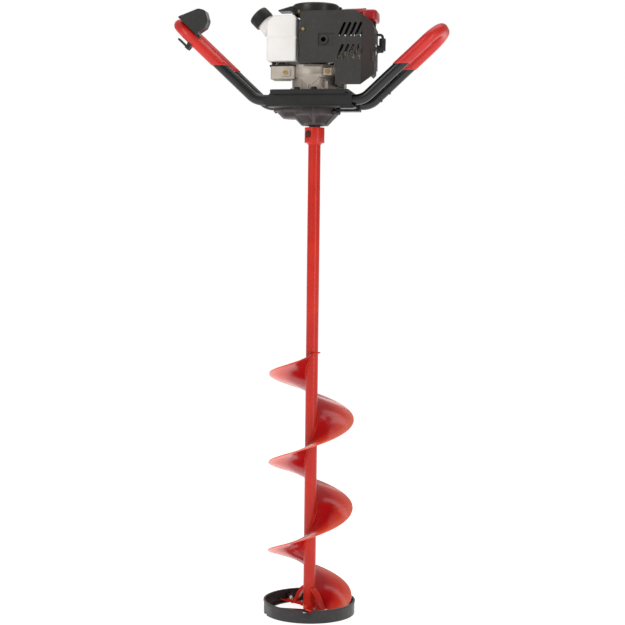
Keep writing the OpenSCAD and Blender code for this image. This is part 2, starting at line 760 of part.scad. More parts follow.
// rows of [x, front y of the head] at height case_screw_z
case_screw_z = 1254;
crankcase_screw_spots = [[-60, -53], [38, -61]];
module crankcase() {
  color(alu) difference() {
    union() {
      rod_z(55.5, crankcase_z, block_z);
      difference() {
        slab_z(-96, -40, -46, 4, 1240, 1268, 4);
        rod_z(56.2, 1230, crankcase_z);
      }
      box(29, 47, -58, -30, 1246, 1262);
      box(-70, -50, -50, -40, 1246, 1262);
      for (z = [1249, 1265]) tube_z(57, 50, z, z + 1.6);
    }
    rod_z(17 + fit, 1240, 1246);
    rod_z(main_bearing_r + fit, 1248, 1262);
    rod_z(12, 1240, 1280);
    for (spot = crankcase_screw_spots) rod_y(2.5 + fit, -60, -40, spot[0], case_screw_z);
    // hollow left arm and the opening in its end
    box(-92, -60, -42, 0, 1244, 1264);
    box(-100, -88, -34, -8, 1247, 1261);
  }
}
module crankcase_screws() {
  color(brass) for (spot = crankcase_screw_spots) {
    rod_y(2.5, spot[1] + 3, -44, spot[0], case_screw_z);
    rod_y(5, spot[1], spot[1] + 3, spot[0], case_screw_z);
  }
}
module engine_bearings() {
  color(steel) {
    tube_z(main_bearing_r, journal_r + run_gap, 1248.2, 1261.8);
    tube_z(main_bearing_r, journal_r + run_gap, 1340.2, 1349.8);
  }
}
module bearings() {
  gearbox_bearings();
  engine_bearings();
}
module engine_block() {
  color(dark_steel) difference() {
    union() {
      rod_z(30, block_z, block_top);
      box(0, 34, -27, 27, 1283, 1337);
      ring(stud_angles, stud_ring_r) rod_z(5, block_z, block_top);
    }
    rod_z(12, 1270, 1276);
    rod_z(25.6, 1275, 1338);
    rod_z(12, 1337, 1345);
    rod_z(main_bearing_r + fit, 1340, 1351);
    rod_x(bore_r + 0.3, 15, 40, 0, cyl_z);
    ring(stud_angles, stud_ring_r) rod_z(2 + fit, 1335, 1351);
  }
}
// [radius, from, to] of the parts on the axis
crank_steps = [
  [journal_r, 1222.4, 1284], [24, 1284, 1298], [24, 1322, 1336], [journal_r, 1336, 1400.5]];
module crankshaft() {
  color(steel) {
    rods_z(crank_steps);
    translate([-13, 0, 0]) rod_z(6, 1298, 1322);
  }
}
module cylinder_node() {
  color(alu) difference() {
    union() {
      rod_x(22, 34, 122, 0, cyl_z);
      box(34, 38, -27, 27, 1283, 1337);
      for (i = [0 : 10]) rod_x(34, 44 + i * 7, 46.2 + i * 7, 0, cyl_z);
      box(66, 84, -36, -20, 1300, 1320);
    }
    rod_x(bore_r, 30, 112, 0, cyl_z);
    rod_x(spark_r + fit, 110, 130, 0, cyl_z);
    rod_y(port_r, -40, -16, port_x, cyl_z);
  }
}
module piston() {
  color(alu) difference() {
    rod_x(piston_r, 62, 94, 0, cyl_z);
    rod_x(14.5, 60, 88, 0, cyl_z);
    rod_y(4, -20, 20, 74, cyl_z);
    // ring grooves
    for (x = [90.2, 86.2]) difference() {
      rod_x(19, x, x + 1.4, 0, cyl_z);
      rod_x(16.6, x - 1, x + 3, 0, cyl_z);
    }
  }
}

// ---------- spark plug ----------
insulator_r = 5.5;
terminal_r = 3;
boot_x = 155;
module spark_plug() {
  color(zinc) rod_x(spark_r, 113, 122, 0, cyl_z);
  color(zinc) hex_x(9, 122, 131, 0, cyl_z);
  color(white) rod_x(insulator_r, 131, 150, 0, cyl_z);
  color(zinc) rod_x(terminal_r, 150, 156, 0, cyl_z);
}
// [x, y, z] points from the boot to the coil
lead_path = [
  [boot_x, 0, 1330], [boot_x, 2, 1338], [150, 14, 1344], [138, 32, 1348], [112, 50, 1358],
  [76, 58, 1368], [50, 56, 1374], [30, 38, 1376], [28, 36, 1382], [28, 36, 1389.2]];
module plug_boot() {
  color(rubber) cable(lead_path, 3, [0.3, 1, 0.15]);
  color(rubber) difference() {
    union() {
      rod_x(8.4, 143, 157, 0, cyl_z);
      translate([boot_x, 0, 0]) rod_z(7.4, 1306, 1334);
      for (z = [1322, 1327]) translate([boot_x, 0, 0]) rod_z(8, z, z + 2);
      rod_x(9.4, 143, 146, 0, cyl_z);
    }
    rod_x(insulator_r + fit, 142, 150.5, 0, cyl_z);
    rod_x(terminal_r + fit, 150, 157, 0, cyl_z);
    translate([boot_x, 0, 0]) rod_z(3 + fit, 1329, 1352);
  }
}

// ---------- muffler ----------
outlet_x = 32.6;
outlet_z = 1322.1;
outlet_r = 8;
module muffler_outlet() {
  color(dark_steel) difference() {
    union() {
      rod_y(outlet_r, -86.5, -74, outlet_x, outlet_z);
      rod_y(10.4, -86.5, -83.2, outlet_x, outlet_z);
    }
    rod_y(5.6, -90, -70, outlet_x, outlet_z);
  }
}
module muffler() {
  muffler_outlet();
  color(dark_steel) difference() {
    union() {
      slab_z(14, 62, -79, -38, 1291, 1347, 8);
      box(66, 84, -42, -36, 1300, 1320);
      box(58, 84, -48, -40, 1300, 1320);
    }
    slab_z(16, 60, -77, -40, 1293, 1345, 6);
    rod_y(port_r, -44, -34, port_x, cyl_z);
    rod_x(5, 50, 76, -44.2, cyl_z);
    rod_y(outlet_r + fit, -90, -70, outlet_x, outlet_z);
  }
}

// ---------- starter and flywheel ----------
coil_x = 28;
coil_y = 36;
cup_r = 12.5;
rope_y = 26;
rope_z = 1404.5;
rope_r = 1.6;
handle_z = 1400.5;
cover_inner = cover_r - skin;
cover_screw_angles = [236, 334, 90, 126];
cover_screw_z = 1392;
// [x, z] of the tongue on the left of the cover
cover_tongue = [[-49, 1392], [-49, 1408], [-54, 1408], [-84, 1399.5], [-84, 1397], [-56, 1397]];
module starter_plate() {
  color(black) difference() {
    union() {
      rod_z(cover_r, 1384, cover_z);
      ring(stud_angles, stud_ring_r) rod_z(5, block_top, 1385);
    }
    rod_z(11, 1380, 1390);
    // left side cut away beside the tank
    box(-60, -33.8, -60, 60, 1380, 1390);
    translate([coil_x, coil_y, 0]) rod_z(3.8, 1380, 1390);
    ring(stud_angles, stud_ring_r) rod_z(2 + fit, 1349, 1360);
    ring([200, 250], 24) rod_z(9, 1380, 1390);
  }
}
module ignition_coil() {
  color(dark_steel) difference() {
    union() {
      rotate([0, 0, 30]) rotate_extrude(angle = 44) translate([41, 1389.4]) square([9.5, 9.2]);
      translate([coil_x, coil_y, 0]) rod_z(5, 1389.4, 1394);
    }
    rod_z(40.8, 1380, 1410);
  }
}
module starter_cup() {
  color(steel) difference() {
    rod_z(cup_r, 1399.6, 1401.6);
    rod_z(journal_r + fit, 1390, 1400.6);
  }
}
module flywheel() {
  starter_cup();
  color(alu) difference() {
    union() {
      rod_z(40, 1390, 1396);
      rod_z(14, 1388.8, 1399.6);
      // fan blades
      around([0 : 30 : 330]) translate([18, -1, 1395.5]) cube([20.5, 2, 4]);
    }
    rod_z(journal_r + fit, 1380, 1402);
  }
}
module recoil_housing() {
  color(black) difference() {
    union() {
      rod_z(cover_r, cover_z, cover_top);
      translate([0, 0, cover_top]) cylinder(r1 = cover_r, r2 = cover_r - 3, h = 3);
      box(40, 56, rope_y - 8, rope_y + 8, 1397, 1410);
      plate_y(cover_tongue, 20, 40);
    }
    // hollow inside, leaving the pulley post
    difference() {
      rod_z(cover_inner, 1380, cover_top);
      rod_z(5, 1402.4, 1409);
    }
    rod_x(2.6, 30, 70, rope_y, rope_z);
    intersection() {
      rod_z(cover_inner, 1395, cover_top);
      box(36, 60, rope_y - 10, rope_y + 10, 1390, 1408.4);
    }
    around([0 : 20 : 340]) box(34, 44, -2, 2, 1408, 1413);
    around(cover_screw_angles) rod_x(2 + fit, cover_r - 4, cover_r + 4, 0, cover_screw_z);
  }
}
module recoil_pulley() {
  color(coal) difference() {
    rod_z(29, 1402, 1407.2);
    tube_z(40, 24.3, 1402.8, 1406.4);
    rod_z(5 + run_gap, 1400, 1410);
  }
}
module recoil_rope() { color(rope_white) rod_x(rope_r, 2, 66, rope_y, rope_z); }
module pull_handle() {
  color(handle_red) difference() {
    union() {
      translate([57, rope_y, handle_z]) rotate([0, 90, 0]) cylinder(r1 = 5, r2 = 6.6, h = 8);
      rod_x(6.6, 65, 110, rope_y, handle_z);
      slab_y(105, 141.5, -8, 60, 1374.5, handle_z, 11);
      slab_y(108, 138.5, -11, 63, 1377.5, 1397.5, 9);
      box(100, 116, rope_y - 12, rope_y + 12, 1392, 1404.5);
    }
    rod_x(rope_r + fit, 50, 66, rope_y, rope_z);
  }
}

// ---------- engine shroud ----------
shroud_screw_x = -15.5;
shroud_screw_z = 1347.5;
// full block of the shroud, pulled in by inset and left open below when inset
module shroud_solid(inset) {
  low = inset * 9;
  // [x, z] seen from the front
  outline = [
    [-24 + inset, 1271 - low], [60 + inset, 1271 - low], [60 + inset, 1222 - low],
    [117 - inset * 0.4, 1222 - low], [142 - inset, 1250 + inset * 0.4],
    [142 - inset, 1352 - inset * 0.3], [133 - inset, 1369 - inset],
    [103 - inset, 1387 - inset], [-24 + inset, 1387 - inset]];
  difference() {
    plate_y(outline, 34, shroud_front + 34 - inset);
    // bevelled front edges: top, right and left
    translate([0, -shroud_front + inset, 0]) {
      translate([0, 0, 1367 - inset * 0.6]) rotate([37, 0, 0]) box(-40, 170, -40, 0, 0, 60);
      translate([118 - inset * 0.6, 0, 0]) {
        rotate([0, 0, -28]) box(0, 60, -60, 0, 1200, 1420);
        rotate([0, 0, 62]) box(0, 80, -60, 0, 1200, 1420);
      }
      translate([7 + inset * 0.4, 0, 0]) rotate([0, 0, -26]) box(-60, 0, -60, 0, 1200, 1420);
    }
  }
}
// five slanted slots in the front face
module front_louvres(first_x, z) {
  for (k = [0 : 4]) translate([first_x + k * 12.3, -shroud_front - 2, z])
    rotate([0, 24, 0]) slab_y(-3, 3, 0, 8, -18, 18, 2.9);
}
module engine_shroud() {
  color(coal) difference() {
    shroud_solid(0);
    // hollow, with a thicker patch kept behind the outlet window
    difference() {
      shroud_solid(skin);
      box(18, 58, -shroud_front + skin - 1, -shroud_front + skin + 2.5, 1306, 1339);
    }
    box(-60, 200, 20, 60, 1200, 1400);
    box(-60, -10, -60, 60, 1200, 1384.4);
    box(-30, 200, 0, 60, 1200, 1262);
    box(101, 124, -13.5, 60, 1374, 1400);
    rod_z(cover_r + 0.6, 1370, 1400);
    box(20.6, 55.5, -shroud_front - 1, -shroud_front + 2.6, 1308.5, 1336.5);
    rod_y(10.6, -90, -60, outlet_x, outlet_z);
    rod_x(16, 130, 160, 0, cyl_z);
    front_louvres(74, 1343.7);
    front_louvres(70, 1295);
    // upright slots in the right face
    for (k = [0 : 4]) translate([141, -52 + k * 11, 1292])
      rotate([0, 0, 90]) slab_y(-2.5, 2.5, -6, 6, -14, 14, 2.4);
    rod_y(2 + fit, -90, -60, shroud_screw_x, shroud_screw_z);
  }
}
module shroud_screw() {
  color(zinc) {
    rod_y(2, -76.4, -66, shroud_screw_x, shroud_screw_z);
    rod_y(3.4, -78.4, -76.4, shroud_screw_x, shroud_screw_z);
  }
}
module cover_screws() {
  shroud_screw();
  color(zinc) around(cover_screw_angles) {
    rod_x(2, cover_r - 2.4, cover_r, 0, cover_screw_z);
    rod_x(3.4, cover_r, cover_r + 2, 0, cover_screw_z);
  }
}

// ---------- fuel ----------
neck_base = [-118, -2, 1374.5];
neck_r = 20;
// frame of the filler neck, z pointing up and to the left
module on_neck() { translate(neck_base) rotate([0, -45, 0]) children(); }
module fuel_tank() {
  color(white) difference() {
    union() {
      difference() {
        slab_y(-103, -34.5, -60, 45, tank_z, 1382.5, 9);
        // bevelled upper edges
        translate([-103, 0, 1382.5]) rotate([0, -45, 0]) box(-30, 30, -80, 80, -11, 30);
        translate([-34.5, 0, 1383.5]) rotate([0, 45, 0]) box(-30, 30, -80, 80, -4, 30);
      }
      on_neck() rod_z(neck_r, -22, 16);
      box(-106, -31.5, -59, 44, 1330.5, 1333);
    }
    slab_y(-100.4, -37.1, -57.4, 42.4, 1281.1, 1372.5, 7);
    on_neck() rod_z(16.5, -40, 40);
    rod_y(3.3, 38, 60, -60, 1292);
  }
}
module fuel_cap() {
  color(black) on_neck() difference() {
    union() {
      cylinder(r = cap_r - 0.8, h = 24);
      rod_z(cap_r, 1, 22);
      translate([0, 0, 24]) cylinder(r1 = cap_r - 0.8, r2 = cap_r - 4, h = 3);
    }
    rod_z(neck_r + run_gap, -1, 20);
    ring([0 : 15 : 345], cap_r + 0.8) rod_z(1.7, -1, 25);
    rod_z(13, 25.5, 30.5);
  }
}
module tank_bracket() {
  color(black) difference() {
    union() {
      slab_z(-99, -38, -45, 36, 1268, 1272, 5);
      for (x = [-90, -68]) for (y = [-36, 26]) translate([x, y, 0]) rod_z(5, 1271, tank_z);
    }
    rod_z(56, 1260, 1300);
  }
}
// [x, y, z] points from the tank to the carburettor
fuel_path = [[-60, 43, 1292], [-60, 48, 1292], [-60, 56, 1292], [-36, 66, 1300], [-17.6, 62, 1306]];
module fuel_lines() { color(hose_amber) cable(fuel_path, 3, [0, 0.1, 1]); }

// ---------- carburettor and air filter ----------
carb_x = 10;
carb_y = 60;
intake_z = 1312;
intake_r = 9;
choke_z = 1322;
choke_r = 4;
bulb_r = 6;
filter_hole_x = -22;
filter_hole_z = 1336;
module intake_bore(from, to) { rod_y(intake_r, from, to, carb_x, intake_z); }
module intake_manifold() {
  color(black) difference() {
    union() {
      box(-8, 28, 30.5, 44, 1294, 1330);
      box(-14, 34, 40, 44, 1290, 1334);
    }
    intake_bore(20, 50);
  }
}
module carburettor() {
  color(alu) difference() {
    union() {
      box(-10, 30, 44, 76, 1296, 1330);
      rod_y(15, 44, 76, carb_x, intake_z);
      translate([carb_x, carb_y, 0]) rod_z(14, 1286, 1296);
      box(-14, -10, 48, 72, 1300, 1330);
    }
    intake_bore(40, 80);
    rod_x(choke_r + fit, 18, 35, carb_y, choke_z);
    translate([carb_x, carb_y, 0]) rod_z(bulb_r + 0.05, 1280, 1290);
  }
}
module choke_lever() {
  color(black) {
    rod_x(choke_r - run_gap, 20, 38, carb_y, choke_z);
    translate([34.6, carb_y, choke_z]) rotate([25, 0, 0]) box(0, 3, -4, 4, 0, 22);
  }
}
module primer_bulb() {
  color(bulb_red) translate([carb_x, carb_y, 0]) {
    rod_z(bulb_r, 1279, 1287);
    translate([0, 0, 1279]) cylinder(r1 = 4, r2 = bulb_r, h = 2);
  }
}
module air_filter_base() {
  intake_manifold();
  color(black) difference() {
    slab_y(-34, 58, 76, 80, 1284, 1350, 10);
    intake_bore(70, 90);
    rod_y(3 + fit, 70, 90, filter_hole_x, filter_hole_z);
  }
}
module air_filter() {
  color(foam) difference() {
    slab_y(-26, 50, 80, 96, 1292, 1342, 8);
    slab_y(-10, 34, 79, 92, 1300, 1334, 6);
    rod_y(6, 70, 100, filter_hole_x, filter_hole_z);
  }
}
module air_filter_cover() {
  color(coal) difference() {
    union() {
      slab_y(-34, 58, 80, 106, 1284, 1350, 10);
      slab_y(-28, 52, 106, 109, 1290, 1344, 8);
    }
    slab_y(-31.5, 55.5, 79, 103.5, 1286.5, 1347.5, 8);
    for (k = [0 : 5]) box(-16, 40, 104, 112, 1297 + k * 7, 1300 + k * 7);
  }
}

auger_tube();
auger_flighting();
cutting_head();
cutting_blades();
blade_bolts();
drive_collar();
collar_bolt();
output_shaft();
output_gear();
blade_guard();
guard_screws();
idler_gear();
input_pinion();
clutch_drum();
crankshaft();
clutch_shoes();
flywheel();
gearcase_lower();
gearcase_upper();
shaft_seal();
grease_plug();
top_plate();
plate_bolts();
left_handlebar();
right_handlebar();
cable_studs();
clutch_housing();
crankcase();
crankcase_screws();
engine_block();
cylinder_node();  // cylinder
piston();
spark_plug();
plug_boot();
muffler();
starter_plate();
ignition_coil();
recoil_housing();
recoil_pulley();
recoil_rope();
pull_handle();
engine_shroud();
fuel_tank();
tank_bracket();
fuel_cap();
fuel_lines();
carburettor();
choke_lever();
primer_bulb();
air_filter_base();
air_filter();
air_filter_cover();
throttle_housing();
throttle_lever();
throttle_cable();
stop_switch();
clamp_bars();
hand_grips();
bearings();
cover_screws();
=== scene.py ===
# Engine-driven earth auger, standing upright with its bit axis on Z and its lower end on the floor.
# Front faces -Y, and right is +X. Mesh sizes are in millimetres, scaled by MM; the scene is in metres.
import bpy, bmesh, math, json
from mathutils import Vector, Matrix


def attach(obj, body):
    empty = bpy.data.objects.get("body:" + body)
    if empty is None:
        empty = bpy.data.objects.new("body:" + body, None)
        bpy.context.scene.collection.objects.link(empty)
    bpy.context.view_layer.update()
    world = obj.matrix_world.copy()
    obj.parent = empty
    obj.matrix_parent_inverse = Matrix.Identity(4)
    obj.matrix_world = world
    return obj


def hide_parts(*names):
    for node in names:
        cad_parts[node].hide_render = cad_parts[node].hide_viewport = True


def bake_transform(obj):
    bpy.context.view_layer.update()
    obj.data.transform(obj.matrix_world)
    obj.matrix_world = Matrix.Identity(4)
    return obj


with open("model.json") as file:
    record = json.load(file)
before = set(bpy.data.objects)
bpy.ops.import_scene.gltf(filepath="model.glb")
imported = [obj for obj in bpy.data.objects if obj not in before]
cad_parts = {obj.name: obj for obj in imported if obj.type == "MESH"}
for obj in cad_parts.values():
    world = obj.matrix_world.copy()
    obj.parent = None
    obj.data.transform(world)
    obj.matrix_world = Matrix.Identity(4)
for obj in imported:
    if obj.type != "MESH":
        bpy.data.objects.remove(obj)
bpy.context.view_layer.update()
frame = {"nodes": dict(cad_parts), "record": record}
scene = bpy.context.scene
scene.view_settings.view_transform = "Standard"
MM = 0.001
MATERIALS = {}


# ---------------------------------------------------------------- shader helpers
class Shader:
    """One new material, with short methods that add nodes and return their outputs."""

    def __init__(self, name):
        material = bpy.data.materials.new(name)
        material.use_nodes = True
        self.tree = material.node_tree
        self.principled = self.tree.nodes["Principled BSDF"]
        self.position = self.tree.nodes.new("ShaderNodeTexCoord").outputs["Object"]
        MATERIALS[name] = material

    def put(self, socket, value):
        """Links an output, or stores a plain value."""
        if isinstance(value, bpy.types.NodeSocket):
            self.tree.links.new(value, socket)
        else:
            socket.default_value = value

    def fill(self, node, inputs):
        for name, value in inputs.items():
            self.put(node.inputs[name.replace("_", " ")], value)

    def surface(self, **inputs):
        self.fill(self.principled, inputs)

    def node(self, kind, **inputs):
        node = self.tree.nodes.new(kind)
        self.fill(node, inputs)
        return node

    def noise(self, scale, detail=3.0, rough=0.55, at=None):
        return self.node("ShaderNodeTexNoise", Vector=at or self.position, Scale=scale,
                         Detail=detail, Roughness=rough).outputs["Fac"]

    def streaks(self, stretch, detail):
        """Noise on coordinates stretched differently along each axis."""
        mapping = self.node("ShaderNodeMapping", Vector=self.position, Scale=stretch)
        return self.noise(scale=1.0, detail=detail, rough=0.6, at=mapping.outputs[0])

    def cells(self, scale):
        return self.node("ShaderNodeTexVoronoi", Vector=self.position,
                         Scale=float(scale)).outputs["Distance"]

    def ramp(self, value, low, high, to=(0.0, 1.0)):
        node = self.node("ShaderNodeMapRange")
        for i, v in enumerate((value, low, high, *to)):
            self.put(node.inputs[i], v)
        return node.outputs[0]

    def mix(self, factor, first, second):
        node = self.tree.nodes.new("ShaderNodeMix")
        node.data_type = "RGBA"
        self.put(node.inputs[0], factor)
        for i, colour in ((6, first), (7, second)):
            self.put(node.inputs[i], (*colour, 1) if isinstance(colour, tuple) else colour)
        return node.outputs[2]

    def math(self, operation, first, second=0.0):
        node = self.tree.nodes.new("ShaderNodeMath")
        node.operation = operation
        self.put(node.inputs[0], first)
        self.put(node.inputs[1], second)
        return node.outputs[0]

    def bump(self, height, strength, distance, under=None):
        node = self.node("ShaderNodeBump", Strength=strength, Distance=distance, Height=height)
        if under:
            self.put(node.inputs["Normal"], under)
        return node.outputs["Normal"]

    def edges(self, low=0.64, high=0.8):
        """Mask of the outer corners."""
        point = self.tree.nodes.new("ShaderNodeNewGeometry").outputs["Pointiness"]
        return self.ramp(point, low, high)

    def clouds(self, base, deep, scale, detail, high=0.7):
        """Broad patches of the deep tone over the base."""
        return self.mix(self.ramp(self.noise(scale, detail), low=0.35, high=high), base, deep)

    def blotches(self, to, scale, detail=3.0, rough=0.55):
        """Patchy value that stays between the two numbers in `to`."""
        return self.ramp(self.noise(scale, detail, rough), low=0.3, high=0.7, to=to)


def srgb(colour):
    """0-255 sRGB to linear."""
    return tuple(c / 255 / 12.92 if c / 255 <= 0.04045 else ((c / 255 + 0.055) / 1.055) ** 2.4
                 for c in colour)


def tint(colour, gain, lift):
    return tuple(min(1, c * gain + lift) for c in colour)


# ---------------------------------------------------------------- material families
# base, deep: main and patch colours; rough: lowest and highest roughness; grime, dust: share of
# specks; grain: bump strength.
def paint(name, base, deep, chip, rough, coat, grime, peel=0.02, spec=0.5, reflection_bands=()):
    """Coated metal with orange peel and chipped edges; reflection_bands are painted reflections, tones
    laid on by distance from Z.
    """
    s = Shader(name)
    deep = srgb(deep)
    tone = s.clouds(srgb(base), deep, scale=9, detail=4)
    if reflection_bands:
        x, y, _ = s.node("ShaderNodeSeparateXYZ", Vector=s.position).outputs
        squares = s.math("ADD", s.math("MULTIPLY", x, x), s.math("MULTIPLY", y, y))
        waver = s.ramp(s.noise(scale=14, detail=3), low=0, high=1, to=(-0.008, 0.008))
        radius = s.math("ADD", s.math("SQRT", squares), waver)
        # Painted reflection: each band blends the tone towards its colour with distance from Z.
        for low, high, colour in reflection_bands:
            tone = s.mix(s.ramp(radius, low, high), tone, srgb(colour))
    specks = s.noise(scale=120, detail=5, rough=0.7)
    tone = s.mix(s.ramp(specks, low=0.62, high=0.8, to=(0, grime)), tone, deep)
    flakes = s.ramp(s.noise(scale=260, detail=4, rough=0.7), low=0.5, high=0.66)
    wear = s.math("MULTIPLY", s.edges(low=0.74, high=0.9), flakes)
    tone = s.mix(s.math("MULTIPLY", wear, 0.55), tone, srgb(chip))
    broad = s.bump(s.noise(scale=90, detail=2), strength=peel, distance=0.0008)
    fine = s.bump(s.noise(scale=420, detail=2), strength=peel * 0.5, distance=0.0001, under=broad)
    s.surface(Base_Color=tone, Roughness=s.blotches(rough, scale=35, detail=5, rough=0.6),
              Coat_Weight=coat, Coat_Roughness=s.blotches((0.05, 0.14), scale=60),
              Specular_IOR_Level=spec, Normal=fine)


def metal(name, base, deep, rough, grain, cast=False, metallic=0.9, grime=0.5):
    """Bare metal, either cast and pitted or brushed."""
    s = Shader(name)
    base, deep = srgb(base), srgb(deep)
    tone = s.clouds(base, deep, scale=22, detail=5, high=0.68)
    specks = s.ramp(s.noise(scale=70, detail=6, rough=0.7), low=0.58, high=0.8)
    tone = s.mix(s.math("MULTIPLY", specks, grime), tone, tint(deep, gain=0.35, lift=0.0))
    # Painted highlight: the outer corners are lightened.
    tone = s.mix(s.math("MULTIPLY", s.edges(), 0.5), tone, tint(base, gain=1.35, lift=0.05))
    if cast:
        pits = s.bump(s.cells(scale=620), strength=grain, distance=0.0003)
        sand = s.noise(scale=240, detail=4, rough=0.7)
        normal = s.bump(sand, strength=grain, distance=0.0006, under=pits)
    else:
        brushed = s.streaks(stretch=(60, 60, 900), detail=4)
        normal = s.bump(brushed, strength=grain, distance=0.0002)
    s.surface(Base_Color=tone, Metallic=metallic, Normal=normal,
              Roughness=s.blotches(rough, scale=80, detail=4))


def plastic(name, base, deep, rough, grain, scale, dust=0.08, edge_highlight=0.25, coat=0.0, sheen=0.0,
            sub=0.0, flow=None):
    """Moulded plastic, rubber or foam; scale sizes the grain, edge_highlight paints a highlight onto
    the corners, sub is light scattered inside and flow stretches moulding lines."""
    s = Shader(name)
    base = srgb(base)
    tone = s.clouds(base, srgb(deep), scale=12, detail=4)
    specks = s.ramp(s.noise(scale=160, detail=6, rough=0.75), low=0.55, high=0.85)
    tone = s.mix(s.math("MULTIPLY", specks, dust), tone, tint(base, gain=1, lift=0.18))
    # Painted highlight: the outer corners are lightened.
    tone = s.mix(s.math("MULTIPLY", s.edges(), edge_highlight), tone, tint(base, gain=1.5, lift=0.04))
    normal = s.bump(s.cells(scale), strength=grain, distance=0.00025)
    if flow:
        lines = s.streaks(stretch=flow, detail=3)
        normal = s.bump(lines, strength=grain, distance=0.0003, under=normal)
    waves = s.noise(scale=110, detail=3)
    normal = s.bump(waves, strength=grain * 0.5, distance=0.0006, under=normal)
    s.surface(Base_Color=tone, Roughness=s.blotches(rough, scale=45, detail=5),
              Coat_Weight=coat, Sheen_Weight=sheen, Normal=normal)
    if sub:
        s.surface(Subsurface_Weight=sub, Subsurface_Radius=(0.006, 0.006, 0.005))


def braided(name, base, dark):
    """Cord woven from two crossing sets of strands."""
    s = Shader(name)
    strands = []
    for turn in (1, -1):
        mapping = s.node("ShaderNodeMapping", Vector=s.position,
                         Rotation=(0, 0.7 * turn, 0.6 * turn))
        wave = s.node("ShaderNodeTexWave", Vector=mapping.outputs[0], Scale=260.0, Distortion=1.0)
        strands.append(wave.outputs["Fac"])
    weave = s.math("MULTIPLY", *strands)
    rough = s.ramp(s.noise(scale=200, detail=3), low=0, high=1, to=(0.7, 0.95))
    s.surface(Base_Color=s.mix(weave, srgb(dark), srgb(base)), Roughness=rough,
              Sheen_Weight=0.3, Normal=s.bump(weave, strength=0.6, distance=0.0004))


# ---------------------------------------------------------------- materials
paint("red_paint", base=(214, 42, 20), deep=(188, 26, 14), chip=(150, 110, 100),
      rough=(0.26, 0.4), coat=0.14, spec=0.32, grime=0.2)
# Painted reflection on the flight: its red is darker than the tube's, and the bands lighten it to
# orange-red and then pale pink towards the rim. This stands in for the dark tube and the white studio
# mirrored in the glossy paint.
paint("flight_paint", base=(186, 16, 22), deep=(162, 10, 16), chip=(190, 150, 140),
      rough=(0.18, 0.3), coat=0.3, spec=0.35, grime=0.15,
      reflection_bands=((0.050, 0.072, (216, 52, 30)), (0.076, 0.0975, (238, 104, 76))))
paint("black_paint", base=(17, 15, 15), deep=(12, 11, 11), chip=(90, 88, 86),
      rough=(0.24, 0.36), coat=0.12, peel=0.003, grime=0.3)
paint("frame_paint", base=(26, 23, 23), deep=(18, 16, 16), chip=(100, 97, 94),
      rough=(0.34, 0.5), coat=0.05, peel=0.04, grime=0.5)
plastic("red_vinyl", base=(214, 36, 26), deep=(198, 28, 22), rough=(0.3, 0.42),
        grain=0.002, scale=300, dust=0.04, edge_highlight=0.1, coat=0.08)
metal("cast_grey", base=(66, 57, 57), deep=(46, 40, 41), rough=(0.42, 0.6),
      grain=0.4, cast=True, metallic=0.45)
metal("cast_alloy", base=(206, 196, 184), deep=(178, 168, 156), rough=(0.4, 0.58),
      grain=0.45, cast=True, metallic=0.55, grime=0.35)
plastic("shroud_plastic", base=(50, 47, 45), deep=(42, 40, 38), rough=(0.4, 0.56),
        grain=0.25, scale=1100, dust=0.22, edge_highlight=0.4)
plastic("black_plastic", base=(25, 22, 21), deep=(18, 16, 15), rough=(0.3, 0.46),
        grain=0.12, scale=1300, dust=0.2, edge_highlight=0.35)
plastic("guard_plastic", base=(37, 32, 33), deep=(28, 25, 25), rough=(0.34, 0.5),
        grain=0.15, scale=800, dust=0.3, edge_highlight=0.45, flow=(40, 40, 500))
plastic("white_plastic", base=(246, 243, 240), deep=(238, 234, 229), rough=(0.3, 0.45),
        grain=0.1, scale=420, dust=0.0, edge_highlight=0.0, sub=0.15)
plastic("red_plastic", base=(184, 26, 34), deep=(160, 18, 26), rough=(0.24, 0.36),
        grain=0.03, scale=700, dust=0.1, edge_highlight=0.3)
metal("zinc", base=(214, 208, 196), deep=(186, 178, 166), rough=(0.22, 0.4), grain=0.2)
metal("brass_plated", base=(206, 172, 104), deep=(172, 136, 76), rough=(0.24, 0.42), grain=0.2)
metal("gear_steel", base=(170, 170, 174), deep=(140, 140, 144), rough=(0.22, 0.4), grain=0.25)
metal("dark_steel", base=(84, 82, 82), deep=(60, 58, 58), rough=(0.3, 0.5), grain=0.25)
plastic("black_rubber", base=(30, 29, 29), deep=(24, 23, 23), rough=(0.5, 0.68),
        grain=0.25, scale=900, dust=0.25, edge_highlight=0.2)
braided("rope_cord", base=(226, 220, 208), dark=(150, 142, 128))
plastic("fuel_hose", base=(176, 156, 92), deep=(150, 130, 74), rough=(0.2, 0.32),
        grain=0.05, scale=300, sub=0.3)
plastic("filter_foam", base=(196, 150, 92), deep=(160, 116, 66), rough=(0.85, 0.98),
        grain=0.9, scale=520, dust=0.3, sheen=0.2)

# ---------------------------------------------------------------- CAD pieces
# Pieces whose material is not the one named by their slot.
OVERRIDES = {"auger_flighting": "flight_paint", "clamp_bars": "frame_paint",
             "top_plate": "frame_paint", "plate_bolts": "frame_paint",
             "tank_bracket": "frame_paint", "cover_screws": "brass_plated"}
# Bevel width: the pieces that get it.
BEVELS = {
    0.25: "cutting_blades",
    0.3: "guard_screws",
    0.4: "crankcase_screws cover_screws blade_bolts cable_studs plug_boot",
    0.5: "starter_plate cylinder choke_lever stop_switch plate_bolts collar_bolt grease_plug",
    0.7: "tank_bracket",
    0.8: "recoil_housing blade_guard drive_collar air_filter_base",
    0.9: "cutting_head throttle_lever",
    1.0: "clutch_housing clamp_bars gearcase_upper muffler carburettor engine_block",
    1.2: "crankcase top_plate gearcase_lower air_filter_cover",
    1.6: "engine_shroud",
    2.2: "throttle_housing",
}


